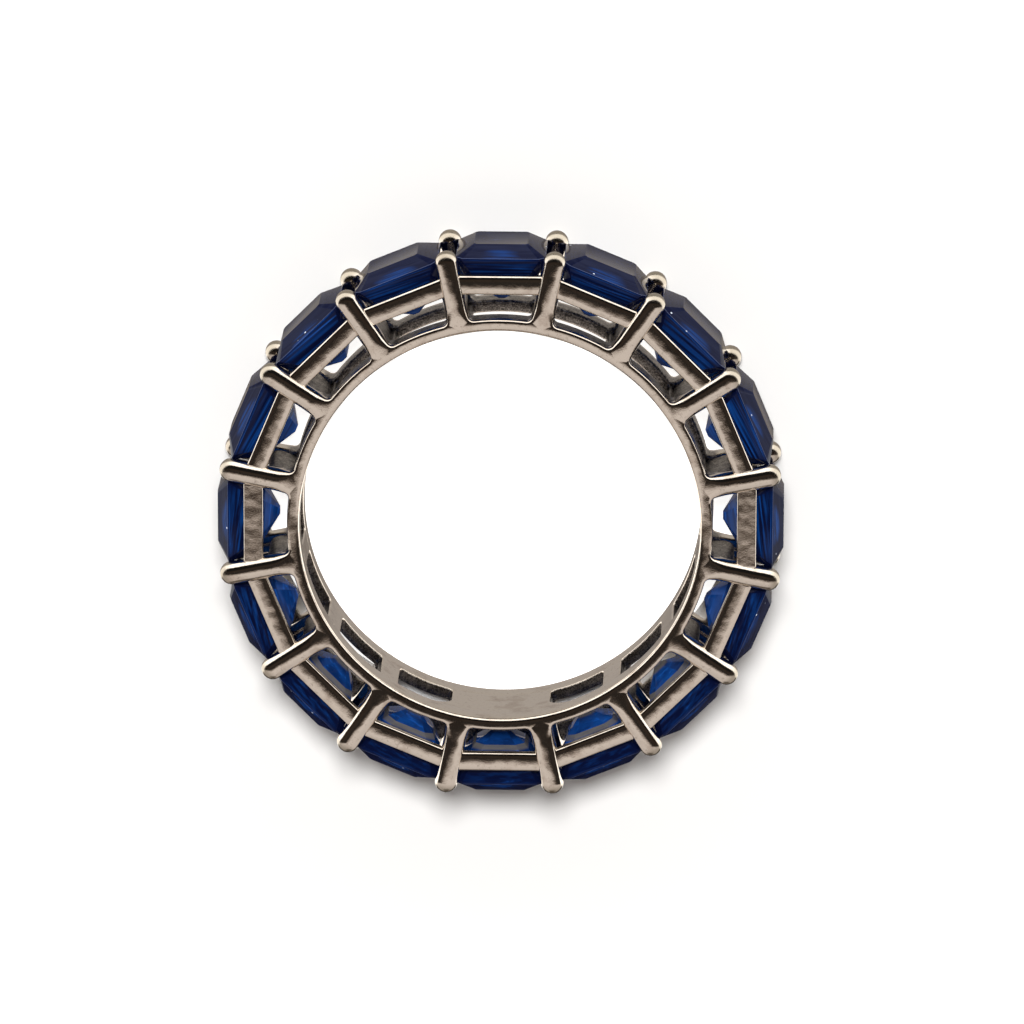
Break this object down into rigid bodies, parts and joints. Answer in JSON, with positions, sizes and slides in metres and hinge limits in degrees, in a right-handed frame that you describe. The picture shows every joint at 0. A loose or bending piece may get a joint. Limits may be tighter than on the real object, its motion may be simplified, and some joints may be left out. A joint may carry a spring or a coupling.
{
  "type": "eternity ring",
  "caption": "Eternity ring with square step-cut blue stones in shared prongs over an open gallery, lying on its side.",
  "frame": {"origin": "on the resting plane, at the ring's axis", "axes": "+Z along the finger's axis, towards the pictured face; +Y towards the first stone"},
  "size_m": [0.0244, 0.0244, 0.0049],
  "materials": {
    "metal": "polished, lightly worn",
    "stone": "polished facets"
  },
  "bodies": {
    "root": {"setting": "metal", "stone_01": "stone", "stone_02": "stone", "stone_03": "stone", "stone_04": "stone", "stone_05": "stone", "stone_06": "stone", "stone_07": "stone", "stone_08": "stone", "stone_09": "stone", "stone_10": "stone", "stone_11": "stone", "stone_12": "stone", "stone_13": "stone", "stone_14": "stone", "stone_15": "stone", "stone_16": "stone"}
  },
  "joints": []
}
